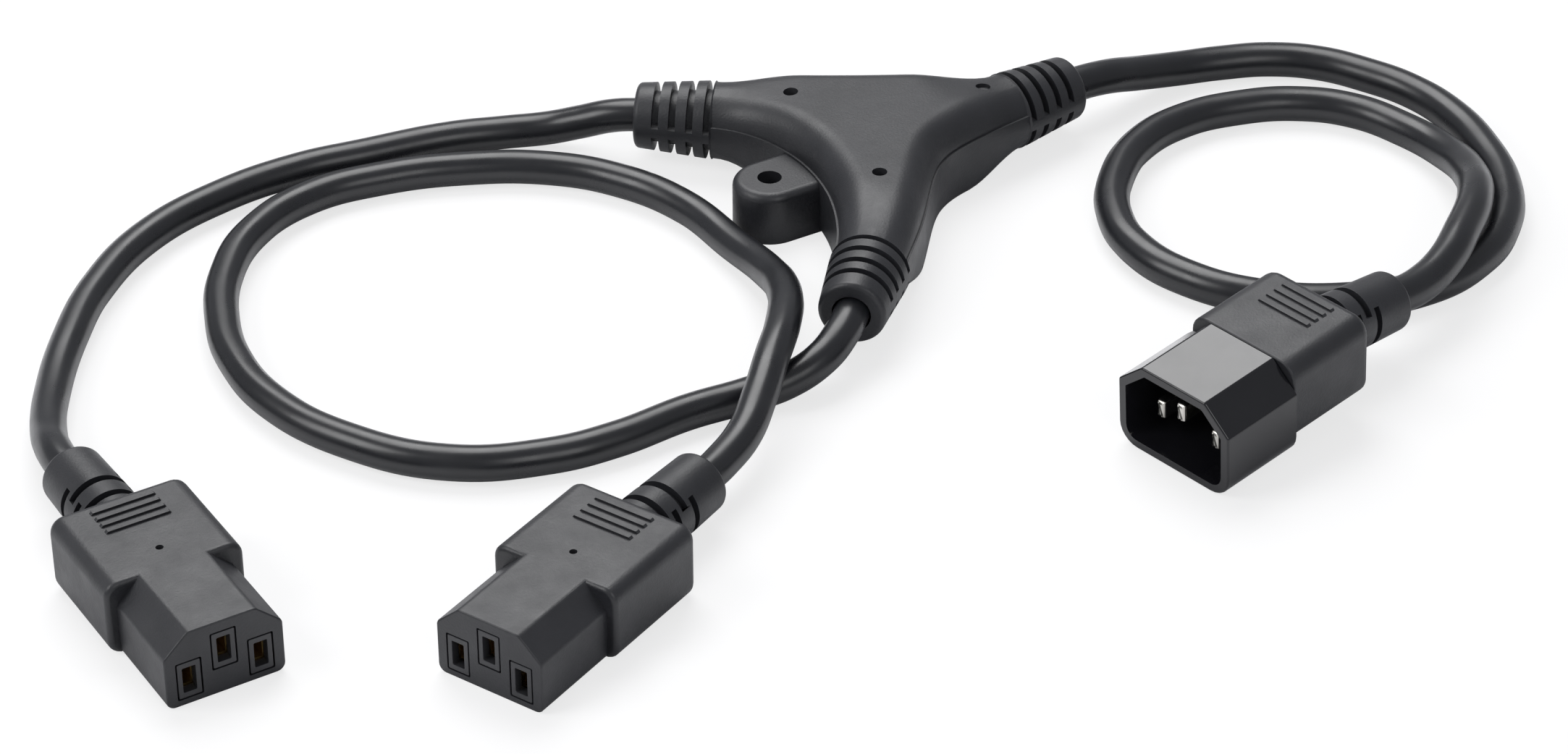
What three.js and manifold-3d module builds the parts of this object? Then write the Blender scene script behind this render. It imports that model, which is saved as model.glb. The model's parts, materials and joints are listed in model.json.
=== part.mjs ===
// A mains power cord splitter: one inlet plug, a moulded Y housing and two outlet connectors on three cords.
// Millimetres, +Z up. The origin is under the middle of the Y housing, on the surface that everything lies on.
import * as THREE from 'three';
import { mergeVertices } from 'three/addons/utils/BufferGeometryUtils.js';
import Module from 'manifold-3d';

const wasm = await Module();
wasm.setup();

// Driving dimensions: clearances
const SEAT_GAP = 0.3;              // between two pieces that seat on each other
const CORD_CLEARANCE = 0.4;        // all round a cord in its bore

// Driving dimensions: cords and their cores
const OUTLET_CORD_D = 7.1;
const INLET_CORD_D = 7.5;
const CORD_SIDES = 10;
const CORE_D = 2.2;
const CORE_SIDES = 6;
const CORE_SPREAD = 1.7;           // centre of a core from the cord's axis
const CONDUCTOR_D = 1.2;
const STRIPPED_LENGTH = 3.6;
const JACKET_DEPTH = 13;           // how far a cord's jacket reaches into its collar

// Driving dimensions: splitter housing
const HOUSING_HEIGHT = 19;
const LEDGE_HEIGHT = 12;           // top of the upright skirt, where the domed upper part steps in
const LEDGE_STEP = 0.4;
const HOUSING_TOP_ROUND = 6;       // width of the dome's rounded edge
const HOUSING_FOOT_ROUND = 1.2;
const ARM_ROOT_R = 8;
const ARM_BLEND = 17;              // length over which an arm turns from round to slab
const COLLAR_LENGTH = 16.3;
const COLLAR_ROOT_R = 8.3;
const COLLAR_OVERLAP = 1;          // how far a collar's root reaches into the hub
const COLLAR_END_R = 6.8;
const COLLAR_END_RING = 4;
const COLLAR_RING = 2.2;
const COLLAR_GROOVE = 1.5;
const COLLAR_GROOVE_DEPTH = 1.9;
const COLLAR_GROOVES = 4;
const COLLAR_BRIDGE = 2.2;         // height of the strip that joins the rings at the parting line
const COLLAR_END_ROUND = 1.1;
const PIN_HOLE_D = 3.1;
const PIN_HOLE_DEPTH = 2;
const SPLICE_ROOM = {
  wall: 3,                         // from the room to the housing's top and foot
  outline: [[-20, -17], [-13, -15], [0, -7], [19, 1], [19, 9.5], [-4, 21], [-20, 26]],
};

// Arms: where each collar ends, and the heading in degrees in which its cord leaves
const ARMS = {
  inlet: { end: [44.3, 6.5], heading: 6, cordD: INLET_CORD_D },
  left: { end: [-39.3, 43.5], heading: 141.7, cordD: OUTLET_CORD_D },
  front: { end: [-40.6, -44.0], heading: 225.4, cordD: OUTLET_CORD_D },
};
// Flanks run from arm to arm, bellied or hollow by the length of their two handles
const FLANKS = [
  { from: 'front', to: 'inlet', handles: [42, 34] },
  { from: 'inlet', to: 'left', handles: [6, 8] },
  { from: 'left', to: 'front', handles: [19, 21] },
];
const PIN_HOLES = [[-15, 21.5], [-16, -14.9], [21.2, 4.1]];
const EAR = { hole: [-29.9, 5.1], r: 7.6, height: 11.5, holeD: 5, round: 1.8, reach: 16 };

// Driving dimensions: splices
const SPLICE_D = 5.2;
const SPLICE_WALL = 0.45;
const SPLICE_LENGTH = 9;
const SPLICE_PITCH = 5.7;
const SPLICE_AT = [-1, 5];         // middle splice, under the housing's middle
const SPLICE_PAIR = 1.25;          // the two outlet conductors' centres above and below the splice's axis
const CORE_CROSSING = 3;           // how far above or below that axis the outlet cores pass each other
const CORE_APPROACH = 4;           // from where a core has passed the others to where its insulation ends
const CORE_LANE = 2.6;             // between cores that run side by side to their splices

// Driving dimensions: female connector
const SOCKET = {
  noseW: 23.3, noseH: 15.6, noseLength: 19.4, chamfer: [5, 4.6], footR: 1.7,
  bodyW: 27.4, bodyLength: 25, bodyR: 3, bodyEdge: 1.8,
};
const CONTACT_SPREAD = 7;
const CONTACT_HEIGHT = 5.4;
const EARTH_RISE = 4;
const TOWER = { w: 4.5, h: 7.5, length: 1.5 };
const SLOT = { w: 2.6, h: 5.3 };
const CHANNEL = { w: 4, h: 6.4 };
const CARRIER = { w: 20.4, foot: 1.4, top: 13.8, length: 16, chamfer: [6, 5] };
const CONTACT_SHEET = 0.5;
const CRIMP_SLACK = 0.35;          // round a conductor in its crimp barrel
const CONTACT_LENGTH = 9;
const CRIMP_LENGTH = 3.6;
const WIRE_ROOM = { w: 17.6, h: 9.6, length: 17 };

// Driving dimensions: male plug
const SHROUD = { w: 28.3, h: 20.15, length: 19, chamfer: [6.1, 5.5], footR: 4.6, wall: 1.9, base: 2.4, spigot: 4 };
const SPIGOT_STEP = 2.2;
const PLUG_BODY = { w: 26.4, foot: 2.6, length: 22, r: 3, edge: 2 };
const BLADE = { w: 2, h: 4, lowHeight: 8.5, tipDepth: 4, earthLead: 2, tail: 3, tip: 0.7 };
const PLUG_WIRE_ROOM = { w: 17.6, h: 11, length: 14 };

// Driving dimensions: strain reliefs, grip ribs and the mould pin mark of the connectors
const RELIEF = { rootR: 6.7, endR: 6.2, length: 20.6, endRound: 0.9 };
const RELIEF_GROOVE = { first: 2.4, pitch: 5.4, width: 1.7, depth: 1.7, count: 2, halfAngle: 60, sideHalfAngle: 42 };
const RIB = { count: 4, length: 13, width: 0.8, rise: 0.45, pitch: 2.2, first: 3.4, root: 0.4 };
const MARK_HOLE_D = 1.5;
const MARK_HOLE_DEPTH = 0.8;

// Where the connectors and the plug lie: middle of the face's foot, and the heading of the face in degrees
const LEFT_SOCKET = { at: [-191.5, -77.7], heading: -89.3 };
const RIGHT_SOCKET = { at: [-151.8, -102.4], heading: -155.2 };
const PLUG = { at: [-8.7, -108.8], heading: -168.3, noseDown: 4.6, reliefDrop: 9, reliefLow: 1.6 };

// Routes of the cords, centreline, from inside the collar to inside the strain relief
const LEFT_ROUTE = [
  [-43.5, 46.9, 8.8], [-48.5, 51.3, 6.6], [-54.0, 55.6, 4.6], [-61.8, 60.0, 3.6], [-73.0, 63.9, 3.6],
  [-92.0, 67.1, 3.6], [-106.0, 69.0, 3.6], [-124.8, 67.6, 3.6], [-143.5, 61.5, 3.6], [-160.4, 48.9, 3.6],
  [-171.5, 36.0, 3.6], [-182.0, 20.5, 3.6], [-189.3, 5.5, 5.2], [-192.1, -5.5, 7.4],
];
const FRONT_ROUTE = [
  [-44.6, -47.4, 8.9], [-51.2, -50.6, 6.8], [-59.0, -51.3, 4.7], [-68.0, -50.3, 3.6], [-80.5, -49.4, 3.6],
  [-97.0, -50.2, 3.6], [-110.3, -48.5, 3.6], [-127.7, -40.6, 3.6], [-140.9, -24.3, 3.6], [-147.5, -5.8, 3.6],
  [-147.6, 11.2, 3.6], [-143.5, 26.0, 3.6], [-136.0, 40.0, 3.6], [-124.0, 52.0, 3.6], [-108.5, 58.0, 3.6],
  [-93.0, 57.0, 3.6], [-77.0, 52.0, 3.6], [-60.7, 42.4, 3.6], [-50.5, 30.5, 3.6], [-44.3, 15.0, 3.6],
  [-42.9, -3.0, 3.6], [-43.5, -17.0, 5.6], [-47.5, -30.0, 9.2], [-56.0, -43.5, 11.9],
  [-63.5, -52.0, 11.9], [-71.0, -60.0, 10.2], [-78.5, -67.0, 8.6], [-86.5, -72.0, 7.9],
];
const INLET_ROUTE = [
  [54.0, 7.2, 8.6], [64.0, 8.0, 6.2], [74.0, 7.8, 4.4], [84.0, 5.6, 3.75], [93.5, 1.6, 3.75],
  [101.7, -5.1, 3.75], [107.6, -14.5, 3.75], [111.8, -25.1, 3.75], [112.9, -37.5, 3.75], [110.4, -51.5, 3.75],
  [105.0, -65.0, 3.75], [96.0, -76.5, 3.75], [82.5, -85.0, 3.75], [66.0, -87.5, 3.75], [50.0, -83.0, 3.75],
  [37.0, -73.5, 3.75], [28.8, -61.0, 3.75], [26.0, -47.0, 3.75], [29.5, -33.0, 3.75], [38.0, -21.5, 3.75],
  [49.5, -13.2, 3.75], [63.0, -9.9, 3.75], [76.0, -11.6, 3.75], [87.5, -16.5, 3.75], [96.2, -25.0, 3.75],
  [101.0, -37.5, 3.75], [101.5, -50.0, 5.0], [97.2, -63.0, 8.2], [88.5, -75.5, 11.5], [78.0, -84.6, 12.2],
  [68.5, -91.0, 11.4], [60.0, -94.5, 10.9],
];

// Materials
const MATTE_BLACK = { color: 0x1c1d20, roughness: 0.62, metalness: 0 };
const SATIN_BLACK = { color: 0x18191c, roughness: 0.38, metalness: 0 };
const GLOSS_BLACK = { color: 0x121316, roughness: 0.12, metalness: 0 };
const CARRIER_GREY = { color: 0x2c2d31, roughness: 0.5, metalness: 0 };
const NICKEL = { color: 0xc8c6be, roughness: 0.25, metalness: 1 };
const BRASS = { color: 0xc2a15a, roughness: 0.35, metalness: 1 };
const CORE_COLOURS = { line: 0x6b4026, neutral: 0x3f6fb5, earth: 0x9bb83a };
const CIRCUITS = ['line', 'neutral', 'earth'];

// Solids and meshes

function toSolid(source) {
  const bare = source.clone();
  bare.deleteAttribute('normal');
  bare.deleteAttribute('uv');
  const merged = mergeVertices(bare, 1e-4);
  const index = merged.index.array;
  const kept = [];
  for (let i = 0; i < index.length; i += 3) {
    const [a, b, c] = [index[i], index[i + 1], index[i + 2]];
    if (a !== b && b !== c && c !== a) kept.push(a, b, c);
  }
  const vertProperties = new Float32Array(merged.attributes.position.array);
  const build = (triVerts) => new wasm.Manifold(new wasm.Mesh({ numProp: 3, vertProperties, triVerts }));
  const solid = build(new Uint32Array(kept));
  return solid.volume() > 0 ? solid : build(new Uint32Array(kept.reverse()));
}

function toGeometry(solid) {
  const mesh = solid.getMesh();
  const geometry = new THREE.BufferGeometry();
  geometry.setAttribute('position', new THREE.BufferAttribute(new Float32Array(mesh.vertProperties), 3));
  geometry.setIndex(new THREE.BufferAttribute(new Uint32Array(mesh.triVerts), 1));
  geometry.computeVertexNormals();
  return geometry;
}

function addMesh(group, name, solid, look) {
  const mesh = new THREE.Mesh(toGeometry(solid), new THREE.MeshStandardMaterial(look));
  mesh.name = name;
  group.add(mesh);
  return mesh;
}

const union = (solids) => solids.reduce((whole, piece) => whole.add(piece));

function moved(geometry, x, y, z) {
  return geometry.clone().translate(x, y, z);
}

// A box from its lowest to its highest corner
function block(low, high) {
  const size = high.map((h, i) => h - low[i]);
  const box = new THREE.BoxGeometry(...size);
  return toSolid(box.translate(...high.map((h, i) => (h + low[i]) / 2)));
}

// A closed outline with its corners rounded by true arcs. A corner is [x, y, radius]
function roundedShape(corners, arcSteps = 3) {
  const points = [];
  corners.forEach(([x, y, r = 0], i) => {
    const corner = new THREE.Vector2(x, y);
    const [px, py] = corners[(i + corners.length - 1) % corners.length];
    const [nx, ny] = corners[(i + 1) % corners.length];
    if (r <= 0) {
      points.push(corner);
      return;
    }
    const toLast = new THREE.Vector2(px, py).sub(corner).normalize();
    const toNext = new THREE.Vector2(nx, ny).sub(corner).normalize();
    const half = Math.acos(THREE.MathUtils.clamp(toLast.dot(toNext), -1, 1)) / 2;
    const centre = toLast.clone().add(toNext).normalize().multiplyScalar(r / Math.sin(half)).add(corner);
    const start = toLast.clone().multiplyScalar(r / Math.tan(half)).add(corner).sub(centre);
    const end = toNext.clone().multiplyScalar(r / Math.tan(half)).add(corner).sub(centre);
    const sweep = Math.atan2(start.cross(end), start.dot(end));
    for (let k = 0; k <= arcSteps; k += 1) {
      points.push(start.clone().rotateAround(new THREE.Vector2(), (sweep * k) / arcSteps).add(centre));
    }
  });
  return new THREE.Shape(points);
}

// The bar that a section in (y, z) sweeps from x0 to x1, its two end edges rounded by edge
function barX(section, x0, x1, edge = 0) {
  const bar = new THREE.ExtrudeGeometry(section, {
    depth: x1 - x0 - 2 * edge, bevelEnabled: edge > 0, bevelThickness: edge, bevelSize: edge,
    bevelOffset: -edge, bevelSegments: 3, curveSegments: 6,
  });
  const turn = new THREE.Matrix4().makeBasis(
    new THREE.Vector3(0, 1, 0), new THREE.Vector3(0, 0, 1), new THREE.Vector3(1, 0, 0));
  return toSolid(bar.applyMatrix4(turn).translate(x0 + edge, 0, 0));
}

// The solid that a profile of [x, radius] points makes when it turns about the X axis, at (y, z)
function turnedX(profile, sides, y = 0, z = 0) {
  const lathe = new THREE.LatheGeometry(profile.map(([x, r]) => new THREE.Vector2(r, x)), sides);
  const turn = new THREE.Matrix4().makeBasis(
    new THREE.Vector3(0, 0, 1), new THREE.Vector3(1, 0, 0), new THREE.Vector3(0, 1, 0));
  return toSolid(lathe.applyMatrix4(turn).translate(0, y, z));
}

const rodX = (x0, x1, r, sides, y = 0, z = 0) => turnedX([[x0, 0], [x0, r], [x1, r], [x1, 0]], sides, y, z);

// An upright rod of radius r from z0 to z1
function rodZ(x, y, z0, z1, r, sides) {
  const rod = new THREE.CylinderGeometry(r, r, z1 - z0, sides);
  return toSolid(rod.rotateX(Math.PI / 2).translate(x, y, (z0 + z1) / 2));
}

// A tube of a round section along a smooth curve through the points
function tube(points, diameter, sides, steps) {
  const route = new THREE.CatmullRomCurve3(points.map((p) => new THREE.Vector3(...p)), false, 'centripetal');
  const circle = [...Array(sides).keys()].map((k) => {
    const angle = (2 * Math.PI * (k + 0.5)) / sides;
    return new THREE.Vector2(Math.cos(angle), Math.sin(angle)).multiplyScalar(diameter / 2);
  });
  return toSolid(new THREE.ExtrudeGeometry(new THREE.Shape(circle), { extrudePath: route, steps, bevelEnabled: false }));
}

// Frames and places

const degrees = THREE.MathUtils.degToRad;

function headingVector(angle) {
  return new THREE.Vector2(Math.cos(degrees(angle)), Math.sin(degrees(angle)));
}

// Takes a solid made along +X to a place: turned down by pitch, then to a heading, then moved
function placed(solid, at, heading, pitch = 0) {
  const matrix = placeMatrix(at, heading, pitch);
  return solid.transform(matrix.elements);
}

function placeMatrix([x, y, z = 0], heading, pitch = 0) {
  const turn = new THREE.Matrix4().makeRotationZ(degrees(heading));
  const tilt = new THREE.Matrix4().makeRotationY(degrees(pitch));
  return new THREE.Matrix4().makeTranslation(x, y, z).multiply(turn).multiply(tilt);
}

function toPlace(point, at, heading, pitch = 0) {
  return new THREE.Vector3(...point).applyMatrix4(placeMatrix(at, heading, pitch)).toArray();
}

// Splitter housing

const ARM_HEIGHT = HOUSING_HEIGHT / 2;       // the parting plane, in which all three arms lie

// The collar of one arm, along +X, its root at x = 0, with four grooves that stop short of the parting line
function collar() {
  const radiusAt = (x) => COLLAR_ROOT_R + ((COLLAR_END_R - COLLAR_ROOT_R) * x) / COLLAR_LENGTH;
  const body = turnedX([
    [-COLLAR_OVERLAP, 0], [-COLLAR_OVERLAP, COLLAR_ROOT_R - COLLAR_OVERLAP], [0, COLLAR_ROOT_R],
    [COLLAR_LENGTH - COLLAR_END_ROUND, radiusAt(COLLAR_LENGTH - COLLAR_END_ROUND)],
    [COLLAR_LENGTH - COLLAR_END_ROUND * 0.3, COLLAR_END_R - COLLAR_END_ROUND * 0.3],
    [COLLAR_LENGTH, COLLAR_END_R - COLLAR_END_ROUND], [COLLAR_LENGTH, 0],
  ], 28);
  const floorR = (x) => radiusAt(x) - COLLAR_GROOVE_DEPTH;
  const cuts = [];
  for (let k = 0; k < COLLAR_GROOVES; k += 1) {
    const x1 = COLLAR_LENGTH - COLLAR_END_RING - k * (COLLAR_RING + COLLAR_GROOVE);
    const x0 = x1 - COLLAR_GROOVE;
    cuts.push(turnedX([[x0, floorR(x0)], [x0, ARM_ROOT_R * 2], [x1, ARM_ROOT_R * 2], [x1, floorR(x1)],
      [x0, floorR(x0)]], 28));
  }
  const far = ARM_ROOT_R * 2.5;
  const upper = block([-1, -far, COLLAR_BRIDGE / 2], [COLLAR_LENGTH, far, far]);
  const lower = block([-1, -far, -far], [COLLAR_LENGTH, far, -COLLAR_BRIDGE / 2]);
  return body.subtract(union(cuts).intersect(upper.add(lower)));
}

function boreOf(cordD) {
  return rodX(-2 * ARM_BLEND, COLLAR_LENGTH + 1, cordD / 2 + CORD_CLEARANCE, 20);
}

// The two ends of an arm's root edge, [clockwise side, anticlockwise side] seen from above
function armRoot(arm) {
  const out = headingVector(arm.heading);
  const root = new THREE.Vector2(...arm.end).addScaledVector(out, -COLLAR_LENGTH);
  const side = new THREE.Vector2(-out.y, out.x).multiplyScalar(ARM_ROOT_R);
  return { out, root, right: root.clone().sub(side), left: root.clone().add(side) };
}

// The hub's skin: three flanks, each one inset and lifted level by level from the foot to the top.
// Near the arms the levels follow a circle, so that the hub runs out into the round collars.
function hubSkin() {
  const stepsAlong = 12;
  const ring = [];
  FLANKS.forEach(({ from, to, handles }) => {
    const a = armRoot(ARMS[from]);
    const b = armRoot(ARMS[to]);
    const start = a.left;
    const end = b.right;
    const curve = new THREE.CubicBezierCurve(
      start, start.clone().addScaledVector(a.out, -handles[0]),
      end.clone().addScaledVector(b.out, -handles[1]), end);
    const length = curve.getLength();
    for (let k = 0; k <= stepsAlong; k += 1) {
      const point = curve.getPointAt(k / stepsAlong);
      const tangent = curve.getTangentAt(k / stepsAlong);
      const inward = new THREE.Vector2(-tangent.y, tangent.x);
      const fromRoot = Math.min(k, stepsAlong - k) * (length / stepsAlong);
      ring.push({ point, inward, slab: THREE.MathUtils.smoothstep(fromRoot, 0, ARM_BLEND) });
    }
  });
  const levels = hubLevels();
  const positions = [];
  levels.forEach((level) => ring.forEach(({ point, inward, slab }) => {
    const inset = THREE.MathUtils.lerp(level.roundInset, level.slabInset, slab);
    const z = THREE.MathUtils.lerp(level.roundZ, level.slabZ, slab);
    positions.push(point.x + inward.x * inset, point.y + inward.y * inset, z);
  }));
  return toSolid(closedStack(positions, ring.length, levels.length));
}

// Levels from the foot to the top, as the insets and heights of the round arm and of the slab.
// The first and last lie almost on the arm's axis, so that the flat caps between them stay level.
function hubLevels() {
  const around = (angle) => ({
    roundInset: ARM_ROOT_R * (1 - Math.cos(degrees(angle))), roundZ: ARM_HEIGHT + ARM_ROOT_R * Math.sin(degrees(angle)),
  });
  const ledgeAngle = THREE.MathUtils.radToDeg(Math.asin((LEDGE_HEIGHT - ARM_HEIGHT) / ARM_ROOT_R));
  const domeEnd = 70;
  const capAngle = 85;
  const capInset = around(capAngle).roundInset;
  const levels = [{ ...around(-capAngle), slabInset: capInset, slabZ: 0 }];
  [90, 45, 0].forEach((turn) => levels.push({
    ...around(-20 - turn * 0.55), slabInset: HOUSING_FOOT_ROUND * (1 - Math.cos(degrees(turn))),
    slabZ: HOUSING_FOOT_ROUND * (1 - Math.sin(degrees(turn))),
  }));
  levels.push({ ...around(0), slabInset: 0, slabZ: ARM_HEIGHT });
  levels.push({ ...around(ledgeAngle), slabInset: 0, slabZ: LEDGE_HEIGHT });
  [0, 18, 36, 54, 72, 90].forEach((turn) => {
    const { roundInset, roundZ } = around(ledgeAngle + (domeEnd - ledgeAngle) * (turn / 90));
    const lift = turn === 0 ? 0.05 : 0;
    levels.push({
      roundInset: roundInset + LEDGE_STEP * (1 - turn / 90), roundZ: roundZ + lift,
      slabInset: LEDGE_STEP + HOUSING_TOP_ROUND * (1 - Math.cos(degrees(turn))),
      slabZ: LEDGE_HEIGHT + lift + (HOUSING_HEIGHT - LEDGE_HEIGHT - lift) * Math.sin(degrees(turn)),
    });
  });
  levels.push({ ...around(capAngle), slabInset: capInset, slabZ: HOUSING_HEIGHT });
  return levels;
}

// A closed geometry from rings of equal length stacked on each other, capped at both ends
function closedStack(positions, count, ringCount) {
  const index = [];
  for (let level = 0; level < ringCount - 1; level += 1) {
    for (let k = 0; k < count; k += 1) {
      const a = level * count + k;
      const b = level * count + ((k + 1) % count);
      index.push(a, b, b + count, a, b + count, a + count);
    }
  }
  const flat = (level) => [...Array(count).keys()].map((k) => {
    const at = 3 * (level * count + k);
    return new THREE.Vector2(positions[at], positions[at + 1]);
  });
  THREE.ShapeUtils.triangulateShape(flat(0), []).forEach(([a, b, c]) => index.push(a, c, b));
  const top = (ringCount - 1) * count;
  THREE.ShapeUtils.triangulateShape(flat(ringCount - 1), []).forEach(([a, b, c]) => index.push(top + a, top + b, top + c));
  const geometry = new THREE.BufferGeometry();
  geometry.setAttribute('position', new THREE.Float32BufferAttribute(positions, 3));
  geometry.setIndex(index);
  return geometry;
}

// The screw ear: a round-nosed pad in the crotch between the two outlets
function ear() {
  const [x, y] = EAR.hole;
  const ring = (inset, z) => {
    const r = EAR.r - inset;
    const outline = roundedShape([
      [x - r, y - r, r * 0.98], [x + EAR.reach, y - r], [x + EAR.reach, y + r], [x - r, y + r, r * 0.98],
    ], 7);
    return outline.getPoints().map((point) => [point.x, point.y, z]);
  };
  const rings = [ring(0, 0)];
  [0, 30, 60, 90].forEach((angle) => rings.push(
    ring(EAR.round * (1 - Math.cos(degrees(angle))), EAR.height - EAR.round * (1 - Math.sin(degrees(angle))))));
  return toSolid(closedStack(rings.flat(2), rings[0].length, rings.length));
}

function housing() {
  let shell = hubSkin().add(ear());
  const arms = Object.values(ARMS).map((arm) => {
    const { root } = armRoot(arm);
    return { arm, at: [root.x, root.y, ARM_HEIGHT] };
  });
  arms.forEach(({ arm, at }) => {
    shell = shell.add(placed(collar(), at, arm.heading));
  });
  arms.forEach(({ arm, at }) => {
    shell = shell.subtract(placed(boreOf(arm.cordD), at, arm.heading));
  });
  PIN_HOLES.forEach(([x, y]) => {
    shell = shell.subtract(rodZ(x, y, HOUSING_HEIGHT - PIN_HOLE_DEPTH, HOUSING_HEIGHT + 1, PIN_HOLE_D / 2, 14));
  });
  shell = shell.subtract(rodZ(...EAR.hole, -1, EAR.height + 1, EAR.holeD / 2, 20));
  const { outline, wall } = SPLICE_ROOM;
  const room = new THREE.ExtrudeGeometry(roundedShape(outline),
    { depth: HOUSING_HEIGHT - 2 * wall, bevelEnabled: false });
  return shell.subtract(toSolid(room.translate(0, 0, wall)));
}

// Splices and the cores that meet in them

const spliceY = (k) => SPLICE_AT[1] + (k - 1) * SPLICE_PITCH;

function splice(k) {
  const [x] = SPLICE_AT;
  const half = SPLICE_LENGTH / 2;
  const inner = SPLICE_D / 2 - SPLICE_WALL;
  const profile = [[x - half, inner], [x - half, SPLICE_D / 2], [x + half, SPLICE_D / 2], [x + half, inner],
    [x - half, inner]];
  return turnedX(profile, 12, spliceY(k), ARM_HEIGHT);
}

// An insulated core whose last stretch is stripped to the conductor
function core(points) {
  const end = new THREE.Vector3(...points[points.length - 1]);
  const before = new THREE.Vector3(...points[points.length - 2]);
  const along = end.clone().sub(before).normalize();
  const insulation = tube(points, CORE_D, CORE_SIDES, 9);
  const from = end.clone().addScaledVector(along, -0.5);
  const to = end.clone().addScaledVector(along, STRIPPED_LENGTH);
  const conductor = tube([from.toArray(), to.toArray()], CONDUCTOR_D, CORE_SIDES, 1);
  return insulation.add(conductor);
}

// Where a core lies round its cord's axis: the middle one on top, the others to the sides. side is -1, 0 or 1
function coreOffset(side) {
  const angle = degrees(90 - 120 * side);
  return [CORE_SPREAD * Math.cos(angle), CORE_SPREAD * Math.sin(angle)];
}

// Cores run inward from the end of an arm's jacket to the splices
function housingCores(group) {
  const [spliceX] = SPLICE_AT;
  const reach = SPLICE_LENGTH / 2 + 0.8;
  const ways = {
    inlet: { side: -1, toward: 1, lift: 0, cross: 0, straight: 11, lanes: [0, 0, 0] },
    left: { side: 1, toward: -1, lift: SPLICE_PAIR, cross: CORE_CROSSING, straight: 15, lanes: [2, 1, 0] },
    front: { side: 1, toward: -1, lift: -SPLICE_PAIR, cross: -CORE_CROSSING, straight: 22, lanes: [0, 1, 2] },
  };
  Object.entries(ARMS).forEach(([name, arm]) => {
    const { side, toward, lift, cross, straight, lanes } = ways[name];
    const { root } = armRoot(arm);
    const inward = arm.heading + 180;
    const jacketEnd = COLLAR_LENGTH - JACKET_DEPTH;
    const at = toPlace([jacketEnd - SEAT_GAP, 0, 0], [root.x, root.y, ARM_HEIGHT], arm.heading);
    CIRCUITS.forEach((circuit, k) => {
      const [across, up] = coreOffset(side * (k - 1));
      const offset = [across, cross < 0 ? -up : up];
      const x = spliceX + toward * reach;
      const y = spliceY(k);
      addMesh(group, `${name}_core_${circuit}`, core([
        toPlace([0, ...offset], at, inward),
        toPlace([straight * 0.75, ...offset], at, inward),
        toPlace([straight, ...offset], at, inward),
        [x + toward * (CORE_APPROACH + lanes[k] * CORE_LANE), y, ARM_HEIGHT + cross],
        [x + toward * 1.2, y, ARM_HEIGHT + lift],
        [x, y, ARM_HEIGHT + lift],
      ]), { color: CORE_COLOURS[circuit], roughness: 0.5, metalness: 0 });
    });
  });
}

// Parts that the connectors and the plug share. Their frame: face at x = 0, body towards -X, foot at z = 0

// The strain relief behind x, on an axis at height z, with its grooves in two staggered sets
function relief(x, z, cordD) {
  const { rootR, endR, length, endRound } = RELIEF;
  const body = turnedX([
    [-length, 0], [-length, endR - endRound], [-length + endRound * 0.3, endR - endRound * 0.3],
    [-length + endRound, endR], [0, rootR], [2, rootR], [2, 0],
  ], 24);
  const { first, pitch, width, depth, count, halfAngle, sideHalfAngle } = RELIEF_GROOVE;
  const cuts = [];
  for (let k = 0; k < count; k += 1) {
    const top = -(first + k * pitch);
    const side = top - pitch / 2;
    cuts.push(grooveArcs(top, width, rootR, depth, halfAngle, 90));
    cuts.push(grooveArcs(side, width * 0.85, rootR, depth, sideHalfAngle / 2, 0));
  }
  const bore = rodX(-length - 1, 4, cordD / 2 + CORD_CLEARANCE, 18);
  return body.subtract(union(cuts)).subtract(bore).translate([x, 0, z]);
}

// Two opposite arcs of a ring groove, centred on the given angle in the (y, z) plane
function grooveArcs(x, width, radius, depth, halfAngle, angle) {
  const ring = turnedX([[x - width / 2, radius - depth], [x - width / 2, radius * 1.5],
    [x + width / 2, radius * 1.5], [x + width / 2, radius - depth], [x - width / 2, radius - depth]], 24);
  const reach = radius * 2;
  const spread = degrees(halfAngle);
  const wedge = (turn) => {
    const corner = (offset) => new THREE.Vector2(
      reach * Math.cos(degrees(turn) + offset), reach * Math.sin(degrees(turn) + offset));
    return barX(new THREE.Shape([new THREE.Vector2(0, 0), corner(-spread), corner(0), corner(spread)]),
      x - width, x + width);
  };
  return ring.intersect(wedge(angle).add(wedge(angle + 180)));
}

// Grip ribs across the top, at height z, the first one a little in front of the body's rear at x
function gripRibs(x, z) {
  const ribs = [];
  for (let k = 0; k < RIB.count; k += 1) {
    const middle = x + RIB.first + k * RIB.pitch;
    const section = new THREE.Shape([
      new THREE.Vector2(-RIB.length / 2, z - RIB.root), new THREE.Vector2(RIB.length / 2, z - RIB.root),
      new THREE.Vector2(RIB.length / 2, z), new THREE.Vector2(RIB.length / 2 - RIB.rise, z + RIB.rise),
      new THREE.Vector2(-RIB.length / 2 + RIB.rise, z + RIB.rise), new THREE.Vector2(-RIB.length / 2, z),
    ]);
    ribs.push(barX(section, middle - RIB.width / 2, middle + RIB.width / 2));
  }
  return union(ribs);
}

// A connector outline: width w, from foot to top, upper corners cut by chamfer and all corners rounded
function faceShape(w, foot, top, chamfer, footR, cornerR) {
  const h = w / 2;
  const [across, down] = chamfer;
  return roundedShape([
    [-h, foot, footR], [h, foot, footR], [h, top - down, cornerR],
    [h - across, top, cornerR], [-h + across, top, cornerR], [-h, top - down, cornerR],
  ]);
}

// Female connector

const SOCKET_REAR = -(SOCKET.noseLength + SOCKET.bodyLength);
const SOCKET_AXIS = SOCKET.noseH / 2;
const contactPlaces = {
  line: [CONTACT_SPREAD, CONTACT_HEIGHT],
  neutral: [-CONTACT_SPREAD, CONTACT_HEIGHT],
  earth: [0, CONTACT_HEIGHT + EARTH_RISE],
};

function rectangle(w, h, y, z) {
  return roundedShape([[y - w / 2, z - h / 2], [y + w / 2, z - h / 2], [y + w / 2, z + h / 2], [y - w / 2, z + h / 2]]);
}

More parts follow.
